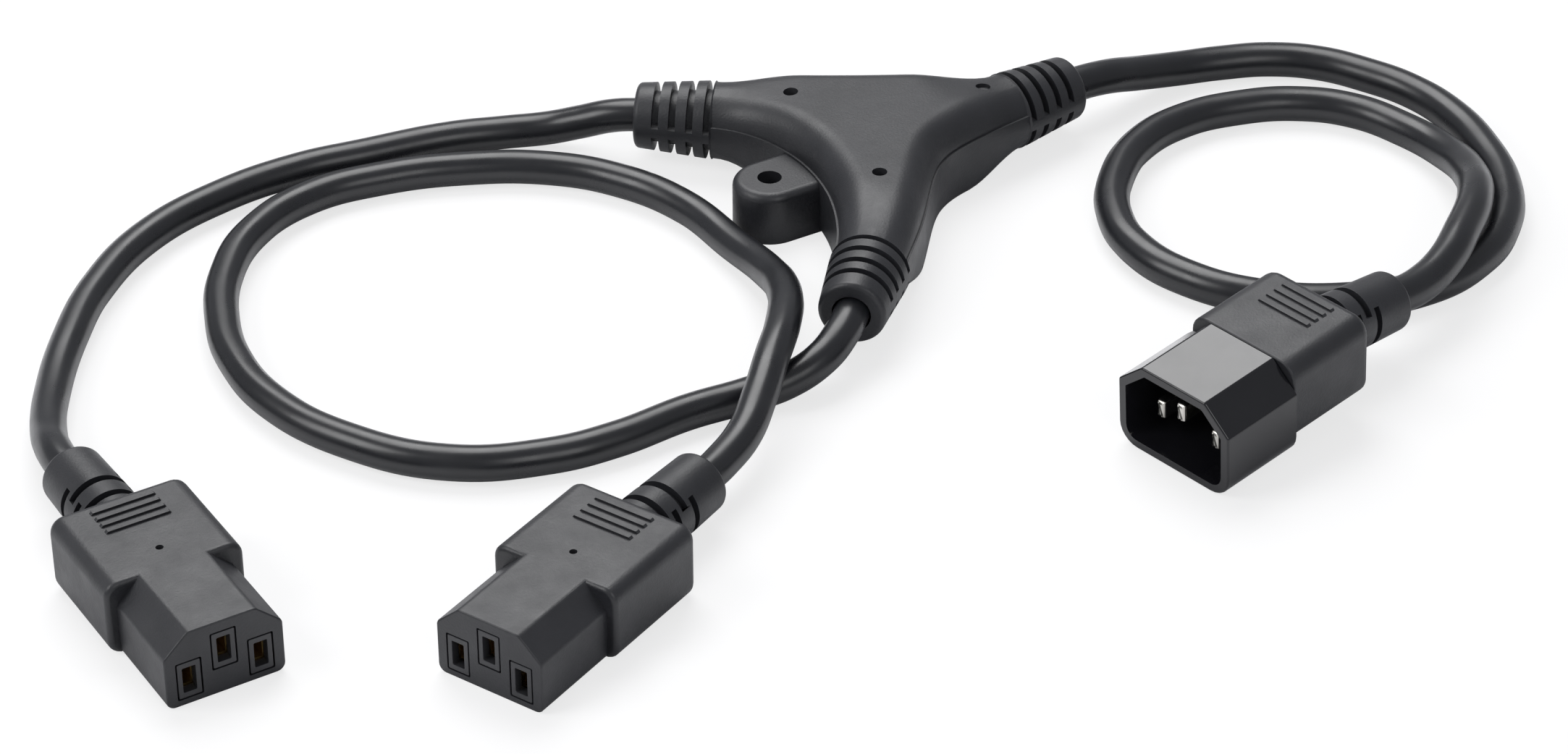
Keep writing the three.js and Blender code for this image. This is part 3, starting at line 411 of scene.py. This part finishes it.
def bump(tree, height, strength, distance_mm, under=None):
    raised = tree.nodes.new("ShaderNodeBump")
    raised.inputs["Strength"].default_value = strength
    raised.inputs["Distance"].default_value = distance_mm * MM
    tree.links.new(height, raised.inputs["Height"])
    if under is not None:
        tree.links.new(under, raised.inputs["Normal"])
    return raised.outputs["Normal"]


def moulded(name, dark, light, rough, grain_mm, grain_strength, handled=0.06, metallic=0.0):
    """A moulded or drawn surface: cloudy colour, roughness that varies, and a fine mould grain."""
    material, tree, shader, coords = nodes_of(name, metallic)
    cloud = noise(tree, coords, 55, 4)
    tree.links.new(mixed(tree, ramp(tree, cloud, 0, 1), dark, light), shader.inputs["Base Color"])
    smears = noise(tree, coords, 130, 5, 0.65)
    tree.links.new(ramp(tree, smears, rough - handled, rough + handled), shader.inputs["Roughness"])
    grain = noise(tree, coords, 1000 / grain_mm, 2, 0.5)
    swell = noise(tree, coords, 90, 2)
    soft = bump(tree, swell, 0.12, 0.15)
    tree.links.new(bump(tree, grain, grain_strength, 0.05, soft), shader.inputs["Normal"])
    return material


RUBBER = moulded("moulded_rubber", (.011, .0115, .014), (.019, .0195, .023), 0.45, 0.48, 0.75)
JACKET = moulded("cord_jacket", (.008, .0085, .0105), (.013, .0135, .016), 0.30, 0.9, 0.10, 0.05)
GLOSS = moulded("gloss_shroud", (.006, .006, .0075), (.009, .009, .011), 0.12, 1.6, 0.04, 0.04)
CARRIER = moulded("carrier", (.018, .0185, .021), (.025, .0255, .029), 0.42, 0.5, 0.15)
NICKEL = moulded("nickel", (.56, .54, .50), (.68, .66, .62), 0.24, 0.7, 0.06, 0.07, 1.0)
BRASS = moulded("brass", (.56, .38, .14), (.66, .47, .20), 0.34, 0.5, 0.08, 0.08, 1.0)
CORES = {
    "line": moulded("core_brown", (.14, .05, .02), (.18, .07, .03), 0.42, 0.8, 0.08),
    "neutral": moulded("core_blue", (.025, .09, .36), (.035, .12, .45), 0.42, 0.8, 0.08),
}


def striped_core():
    """Green insulation with yellow stripes."""
    material, tree, shader, coords = nodes_of("core_green_yellow")
    wave = tree.nodes.new("ShaderNodeTexWave")
    wave.inputs["Scale"].default_value = 260
    tree.links.new(coords, wave.inputs["Vector"])
    stripe = ramp(tree, wave.outputs["Fac"], 0, 1, 0.45, 0.55)
    tree.links.new(mixed(tree, stripe, (.10, .33, .05), (.72, .60, .04)), shader.inputs["Base Color"])
    tree.links.new(ramp(tree, noise(tree, coords, 200), 0.36, 0.48), shader.inputs["Roughness"])
    return material


CORES["earth"] = striped_core()
for cord in (left_cord, right_cord, inlet_cord):
    cord.data.materials.append(JACKET)


# Splitter housing

def hub():
    """The hub's skin, lofted from three flanks, each inset and lifted level by level."""
    ring = []
    for start_arm, end_arm, reach_a, reach_b in FLANKS:
        out_a, _, _, p0 = arm_root(start_arm)
        out_b, _, p3, _ = arm_root(end_arm)
        p1, p2 = p0 - out_a * reach_a, p3 - out_b * reach_b
        fine = [bezier(p0, p1, p2, p3, k / CURVE_STEPS) for k in range(CURVE_STEPS + 1)]
        lengths = [0.0]
        for a, b in zip(fine, fine[1:]):
            lengths.append(lengths[-1] + (b - a).length)
        for k in range(HUB_STEPS + 1):
            want, i = lengths[-1] * k / HUB_STEPS, 0
            while i < CURVE_STEPS - 1 and lengths[i + 1] < want:
                i += 1
            step = lengths[i + 1] - lengths[i]
            point = fine[i].lerp(fine[i + 1], (want - lengths[i]) / step)
            tangent = (fine[min(i + 2, CURVE_STEPS)] - fine[max(i - 1, 0)]).normalized()
            if k in (0, HUB_STEPS):
                tangent = -out_a if k == 0 else out_b
            t = min(1.0, min(want, lengths[-1] - want) / ARM_BLEND)
            ring.append((point, Vector((-tangent.y, tangent.x)), t * t * (3 - 2 * t)))
    verts = []
    for round_in, round_z, slab_in, slab_z in hub_levels():
        for point, inward, slab in ring:
            moved = point + inward * (round_in + (slab_in - round_in) * slab)
            verts.append((moved.x, moved.y, round_z + (slab_z - round_z) * slab))
    count = len(ring)
    faces = []
    for low in range(0, len(verts) - count, count):
        faces += [(low + i, low + (i + 1) % count, low + count + (i + 1) % count, low + count + i)
                  for i in range(count)]
    cap = hub_cap()
    top = [tuple(len(verts) - count + i for i in face) for face in cap]
    faces += top + [tuple(reversed(face)) for face in cap]
    return solid("splitter_housing_look", verts, faces)


def hub_cap():
    """Faces that close the hub's ring: strips across the arms, and one level field between them."""
    faces, field = [], []
    for flank in range(3):
        end, start = flank * (HUB_STEPS + 1) + HUB_STEPS, (flank + 1) % 3 * (HUB_STEPS + 1)
        for k in range(CAP_STRIPS):
            faces.append((end - k - 1, end - k, start + k, start + k + 1))
        field += range(flank * (HUB_STEPS + 1) + CAP_STRIPS, end - CAP_STRIPS + 1)
    return faces + [tuple(field)]


def bezier(p0, p1, p2, p3, t):
    u = 1 - t
    return p0 * u ** 3 + p1 * 3 * u * u * t + p2 * 3 * u * t * t + p3 * t ** 3


def hub_levels():
    """(inset, z) of each level for the round arm, and for the slab, from the foot to the top."""
    cap_angle, dome_end, dome_steps, ledge_lift = 85, 70, 14, 0.05

    def around(angle):
        turn = math.radians(angle)
        return ARM_R * (1 - math.cos(turn)), AXIS_Z + ARM_R * math.sin(turn)

    ledge_angle = math.degrees(math.asin((LEDGE - AXIS_Z) / ARM_R))
    cap_in = around(cap_angle)[0]
    levels = [(*around(-cap_angle), cap_in, 0.0)]
    for angle in (90, 72, 54, 36, 18, 0):
        turn = math.radians(angle)
        levels.append((*around(-20 - angle * 0.55), FOOT_ROUND * (1 - math.cos(turn)),
                       FOOT_ROUND * (1 - math.sin(turn))))
    levels += [(*around(0), 0.0, AXIS_Z), (*around(ledge_angle), 0.0, LEDGE)]
    for k in range(dome_steps + 1):
        share = k / dome_steps
        turn = math.pi / 2 * share
        lift = 0.0 if k else ledge_lift
        round_in, round_z = around(ledge_angle + (dome_end - ledge_angle) * share)
        levels.append((round_in + LEDGE_STEP * (1 - share), round_z + lift,
                       LEDGE_STEP + TOP_ROUND * (1 - math.cos(turn)),
                       LEDGE + lift + (HEIGHT - LEDGE - lift) * math.sin(turn)))
    return [*levels, (*around(cap_angle), cap_in, HEIGHT)]


def collar_radius(x):
    return COLLAR_ROOT_R + (COLLAR_END_R - COLLAR_ROOT_R) * x / COLLAR_LENGTH


def collar():
    """A tapered collar along +X from its root, with ring grooves that stop at the parting line."""
    shoulder = COLLAR_LENGTH - COLLAR_END_ROUND
    profile = [(-1.0, COLLAR_ROOT_R - 1.0), (0.0, COLLAR_ROOT_R), (shoulder, collar_radius(shoulder))]
    for k in range(1, 6):
        a = math.pi / 2 * k / 5
        profile.append((shoulder + COLLAR_END_ROUND * math.sin(a),
                        collar_radius(shoulder) - COLLAR_END_ROUND * (1 - math.cos(a))))
    made = lathe("collar", profile, 72)
    rings = []
    for start, width in COLLAR_GROOVES:
        x1, x0 = COLLAR_LENGTH - start, COLLAR_LENGTH - start - width
        core = rod("core", x0 - 1, x1 + 1, collar_radius(x0) - COLLAR_GROOVE_DEPTH, 72)
        ring = combine(rod("groove", x0, x1, 12, 72), [core], "DIFFERENCE")
        bridge = box("bridge", (x0 - 1, -20, -COLLAR_BRIDGE), (x1 + 1, 20, COLLAR_BRIDGE))
        rings.append(combine(ring, [bridge], "DIFFERENCE"))
    return combine(made, rings, "DIFFERENCE")


def ear():
    """The screw ear in the crotch of two arms, round at its nose and at its top edge."""
    x, y = EAR_HOLE
    levels = [(0.0, 0.0)]
    for k in range(7):
        a = math.pi / 2 * k / 6
        levels.append((EAR_EDGE * (1 - math.cos(a)), EAR_HEIGHT - EAR_EDGE * (1 - math.sin(a))))
    rings = []
    for distance, z in levels:
        r = EAR_R - distance
        nose = [(x + r * math.cos(a), y + r * math.sin(a)) for a in
                [math.radians(90 + 180 * k / 24) for k in range(25)]]
        outline = [*nose, (x + EAR_REACH, y - r), (x + EAR_REACH, y + r)]
        rings.append([(*p, z) for p in outline])
    return stack("ear", rings)


def housing():
    """Hub, ear and collars in one, with the cords' bores, the pin holes and the screw hole."""
    parts = [ear()]
    bores = []
    for name, (_, heading, cord_d) in ARMS.items():
        _, root, _, _ = arm_root(name)
        matrix = place((*root, AXIS_Z), heading)
        parts.append(at_place(collar(), matrix))
        bore = rod("bore", 4.0, COLLAR_LENGTH + 1, cord_d / 2 + CORD_GAP)
        bores.append(at_place(bore, matrix))
    made = combine(hub(), parts, "UNION")
    cuts = [upright("pin", x, y, HEIGHT - PIN_HOLE_DEPTH, HEIGHT + 1, PIN_HOLE_R) for x, y in PIN_HOLES]
    cuts.append(upright("screw", *EAR_HOLE, -1, EAR_HEIGHT + 1, EAR_HOLE_R))
    combine(made, bores + cuts, "DIFFERENCE")
    return finished(made, "moulded_black_rubber", RUBBER, "splitter_housing", soften=0.22)


# Connectors, each made with its face at x = 0 and its foot at z = 0

def relief(x, z):
    """A strain relief back from x, whose axis is at height z, with slots above, below and at its sides."""
    profile = []
    for k in range(6):
        a = math.pi / 2 * k / 5
        profile.append((x - RELIEF_LENGTH + RELIEF_END_ROUND * (1 - math.cos(a)),
                        RELIEF_END_R - RELIEF_END_ROUND * (1 - math.sin(a))))
    profile += [(x, RELIEF_ROOT_R), (x + 2, RELIEF_ROOT_R)]
    made = lathe("relief", profile, 72, 0, z)
    cuts = []
    for k in range(2):
        top = x - RELIEF_FIRST - RELIEF_PITCH * k
        cuts += groove(top, 1.7, z, 60, 90) + groove(top - RELIEF_SIDE_SHIFT, 1.45, z, 42, 0)
    combine(made, cuts, "DIFFERENCE")
    return made


def groove(x, width, z, half_angle, angle):
    """Two opposite arcs of a ring groove, centred on an angle in the (y, z) plane."""
    inner, outer = RELIEF_ROOT_R - RELIEF_DEPTH, RELIEF_ROOT_R * 1.5
    arcs = []
    for middle in (angle, angle + 180):
        turns = [math.radians(middle - half_angle + 2 * half_angle * k / 20) for k in range(21)]
        outline = [Vector((outer * math.cos(a), z + outer * math.sin(a))) for a in turns]
        outline += [Vector((inner * math.cos(a), z + inner * math.sin(a))) for a in reversed(turns)]
        arcs.append(bar("arc", outline, x - width / 2, x + width / 2))
    return arcs


def ribs(x, z):
    """Grip ribs across a body's top at height z, from its rear end at x."""
    made = []
    half, foot = RIB_HALF_LENGTH, z - .4
    for k in range(RIB_COUNT):
        middle = x + RIB_FIRST + RIB_PITCH * k
        outline = [Vector(p) for p in ((-half, foot), (half, foot), (half, z), (half - .4, z + RIB_RISE),
                                       (-half + .4, z + RIB_RISE), (-half, z))]
        made.append(bar("rib", outline, middle - 0.45, middle + 0.45))
    return made


def face_outline(width, foot, top, chamfer, foot_r, corner_r):
    """A connector's face: a rectangle whose two top corners are cut by a chamfer (across, down)."""
    h, (across, down) = width / 2, chamfer
    return rounded([(-h, foot, foot_r), (h, foot, foot_r),
                    (h, top - down, corner_r), (h - across, top, corner_r),
                    (-h + across, top, corner_r), (-h, top - down, corner_r)])


def rectangle(width, height, y, z, r=0.0):
    w, h = width / 2, height / 2
    return rounded([(y - w, z - h, r), (y + w, z - h, r), (y + w, z + h, r), (y - w, z + h, r)], 3)


def socket(name, at):
    """A female connector: its overmoulding, and the contact carrier with three slotted towers in it."""
    face = face_outline(NOSE_W, 0, SOCKET_TOP, NOSE_CHAMFER, NOSE_FOOT_R, NOSE_CORNER_R)
    nose = bar(name + "_overmould_look", face, -22.4, 0, 0, 0.35)
    half, r = SOCKET_BODY_HALF_W, SOCKET_BODY_R
    body_outline = rounded([(-half, 0, r), (half, 0, r), (half, SOCKET_TOP, r), (-half, SOCKET_TOP, r)])
    body = bar("body", body_outline, SOCKET_REAR, SOCKET_BODY_FRONT, 1.8, 1.0)
    combine(nose, [body, relief(SOCKET_REAR, SOCKET_AXIS), *ribs(SOCKET_REAR, SOCKET_TOP)], "UNION")
    cuts = [bar("window", rectangle(*WINDOW, y, z, 0.3), -1.5, 1) for y, z in CONTACTS.values()]
    cuts.append(bar("carrier_room", face_outline(21.0, 1.1, 14.1, CARRIER_CHAMFER, 0, 0), -17.8, -1.2))
    cuts.append(upright("mark", -25.4, 0, 14.8, 17, 0.75, 24))
    bore_r = OUTLET_CORD_D / 2 + CORD_GAP
    cuts.append(rod("bore", SOCKET_REAR - 30, SOCKET_REAR + 8, bore_r, 48, 0, SOCKET_AXIS))
    combine(nose, cuts, "DIFFERENCE")
    at_place(nose, place(*at))
    finished(nose, "moulded_black_rubber", RUBBER, name + "_overmould", soften=0.2)
    carrier = bar(name + "_carrier_look", face_outline(20.4, 1.4, 13.8, CARRIER_CHAMFER, 0, 0), -17.5, -1.5)
    towers = [bar("tower", rectangle(*TOWER, y, z, 0.25), -2, 0) for y, z in CONTACTS.values()]
    combine(carrier, towers, "UNION")
    slots = [bar("slot", rectangle(*SLOT, y, z, 0.2), -3, 1) for y, z in CONTACTS.values()]
    rooms = [bar("room", rectangle(*CHANNEL, y, z), -18.5, -1.9) for y, z in CONTACTS.values()]
    combine(carrier, slots + rooms, "DIFFERENCE")
    at_place(carrier, place(*at))
    finished(carrier, "carrier_plastic", CARRIER, name + "_contact_carrier", soften=0.12)


def shroud_outline(distance, corner_r=0.9):
    outline = face_outline(SHROUD_W, 0, PLUG_TOP, SHROUD_CHAMFER, SHROUD_FOOT_R, corner_r)
    return inset(outline, distance) if distance else outline


def plug():
    """The male plug: its glossy shroud, three blades and the overmoulding behind them."""
    to_place = place(PLUG[0], PLUG[1], PLUG_NOSE_DOWN)
    shell = bar("plug_shroud_look", shroud_outline(0), SHROUD_REAR, 0, 0, 0.45)
    inner = bar("inner", shroud_outline(SHROUD_WALL, 2.2), -18.6, 1)
    combine(shell, [bar("spigot", shroud_outline(2.2, 2.6), -23, -18.5)], "UNION")
    combine(shell, [inner], "DIFFERENCE")
    holes = [bar("hole", rectangle(2.6, 4.6, y, z), -24, -17) for y, z in BLADES.values()]
    combine(shell, holes, "DIFFERENCE")
    finished(at_place(shell, to_place), "gloss_black_plastic", GLOSS, "plug_shroud", soften=0.18)
    for circuit, (y, z) in BLADES.items():
        tip = -2 if circuit == "earth" else -4
        blade = bar(f"plug_blade_{circuit}_look", rectangle(2, 4, y, z, 0.3), -24, tip, 0.2, 0.8)
        finished(at_place(blade, to_place), "nickel_plated_blade", NICKEL, f"plug_blade_{circuit}")
    half = PLUG_BODY_HALF_W
    outline = rounded([(-half, PLUG_FOOT, 3), (half, PLUG_FOOT, 3),
                       (half, PLUG_TOP, 4), (-half, PLUG_TOP, 4)])
    body = bar("plug_overmould_look", outline, PLUG_REAR, -19.3, 2.0, 0.5)
    to_tail = place((PLUG_REAR, 0, PLUG_AXIS), 0, -RELIEF_DROP)
    tail = at_place(relief(0, 0), to_tail)
    combine(body, [tail, *ribs(PLUG_REAR, PLUG_TOP)], "UNION")
    bore = at_place(rod("bore", -30, 8, INLET_CORD_D / 2 + CORD_GAP), to_tail)
    recess = bar("recess", shroud_outline(SHROUD_WALL, 2.2), -23.3, -18)
    combine(body, [bore, recess], "DIFFERENCE")
    finished(at_place(body, to_place), "moulded_black_rubber", RUBBER, "plug_overmould", soften=0.2)


housing()
socket("left_socket", LEFT_SOCKET)
socket("right_socket", RIGHT_SOCKET)
plug()

for name, node in frame["nodes"].items():
    inner = "contact_" in name or "core_" in name or name.startswith("splice")
    if inner and not node.hide_render:
        circuit = name.rsplit("_", 1)[1]
        node.data.materials.clear()
        node.data.materials.append(CORES[circuit] if "core_" in name else BRASS)

# What each cord is: where it leaves its collar, how long it is, and what it carries
PIECES_ON = {
    "left": ["left_socket_overmould_look", "left_socket_carrier_look"],
    "right": ["right_socket_overmould_look", "right_socket_carrier_look"],
    "inlet": ["plug_overmould_look", "plug_shroud_look", *(f"plug_blade_{c}_look" for c in BLADES)],
}
for cord, arm, side, length, diameter, end in (
        (left_cord, "left", "left", 0.243, OUTLET_CORD_D, "connector"),
        (right_cord, "front", "right", 0.449, OUTLET_CORD_D, "connector"),
        (inlet_cord, "inlet", "inlet", 0.465, INLET_CORD_D, "plug")):
    pieces = [bpy.data.objects[n] for n in PIECES_ON[side]]
    prefix = "plug_" if side == "inlet" else side + "_socket_"
    pieces += [n for k, n in frame["nodes"].items() if k.startswith(prefix) and not n.hide_render]


# Floor, world and lamps

def floor():
    ring = [(math.cos(2 * math.pi * k / 64) * 6, math.sin(2 * math.pi * k / 64) * 6, 0) for k in range(64)]
    mesh = bpy.data.meshes.new("floor")
    mesh.from_pydata(ring, [], [tuple(range(64))])
    made = bpy.data.objects.new("floor", mesh)
    bpy.context.scene.collection.objects.link(made)
    material = bpy.data.materials.new("white_floor")
    material.use_nodes = True
    tree = material.node_tree
    shader = tree.nodes["Principled BSDF"]
    shader.inputs["Base Color"].default_value = (0.86, 0.86, 0.87, 1)
    shader.inputs["Roughness"].default_value = 0.9
    glow = tree.nodes.new("ShaderNodeEmission")
    rays = tree.nodes.new("ShaderNodeLightPath")
    share = tree.nodes.new("ShaderNodeMath")
    share.operation = "MULTIPLY"
    share.inputs[1].default_value = 0.72
    blend = tree.nodes.new("ShaderNodeMixShader")
    tree.links.new(rays.outputs["Is Camera Ray"], share.inputs[0])
    tree.links.new(share.outputs["Value"], blend.inputs["Fac"])
    tree.links.new(shader.outputs["BSDF"], blend.inputs[1])
    tree.links.new(glow.outputs["Emission"], blend.inputs[2])
    tree.links.new(blend.outputs["Shader"], tree.nodes["Material Output"].inputs["Surface"])
    mesh.materials.append(material)


def world():
    made = bpy.data.worlds.new("studio")
    bpy.context.scene.world = made
    made.use_nodes = True
    tree = made.node_tree
    back = tree.nodes["Background"]
    back.inputs["Color"].default_value = (0.93, 0.95, 1.0, 1)
    rays = tree.nodes.new("ShaderNodeLightPath")
    either = tree.nodes.new("ShaderNodeMath")
    either.operation = "MAXIMUM"
    tree.links.new(rays.outputs["Is Camera Ray"], either.inputs[0])
    tree.links.new(rays.outputs["Is Transmission Ray"], either.inputs[1])
    strength = ramp(tree, either.outputs["Value"], 0.36, 1.0, 0, 1)
    tree.links.new(strength, back.inputs["Strength"])


def lamp(name, at, toward, size, power):
    data = bpy.data.lights.new(name, "AREA")
    data.shape, data.size, data.energy = "SQUARE", size, power
    made = bpy.data.objects.new(name, data)
    bpy.context.scene.collection.objects.link(made)
    made.location = at
    made.rotation_mode = "QUATERNION"
    made.rotation_quaternion = (Vector(toward) - Vector(at)).to_track_quat("-Z", "Y")


floor()
world()
lamp("overhead", (0.15, 0.55, 0.95), (-0.03, 0, 0), 0.8, 11.5)
lamp("left", (-0.9, 0.15, 0.7), (-0.05, 0, 0), 0.5, 5.0)
lamp("front", (-0.1, -1.1, 0.8), (0, 0, 0), 0.6, 3.0)
bpy.context.scene.view_settings.view_transform = "Standard"
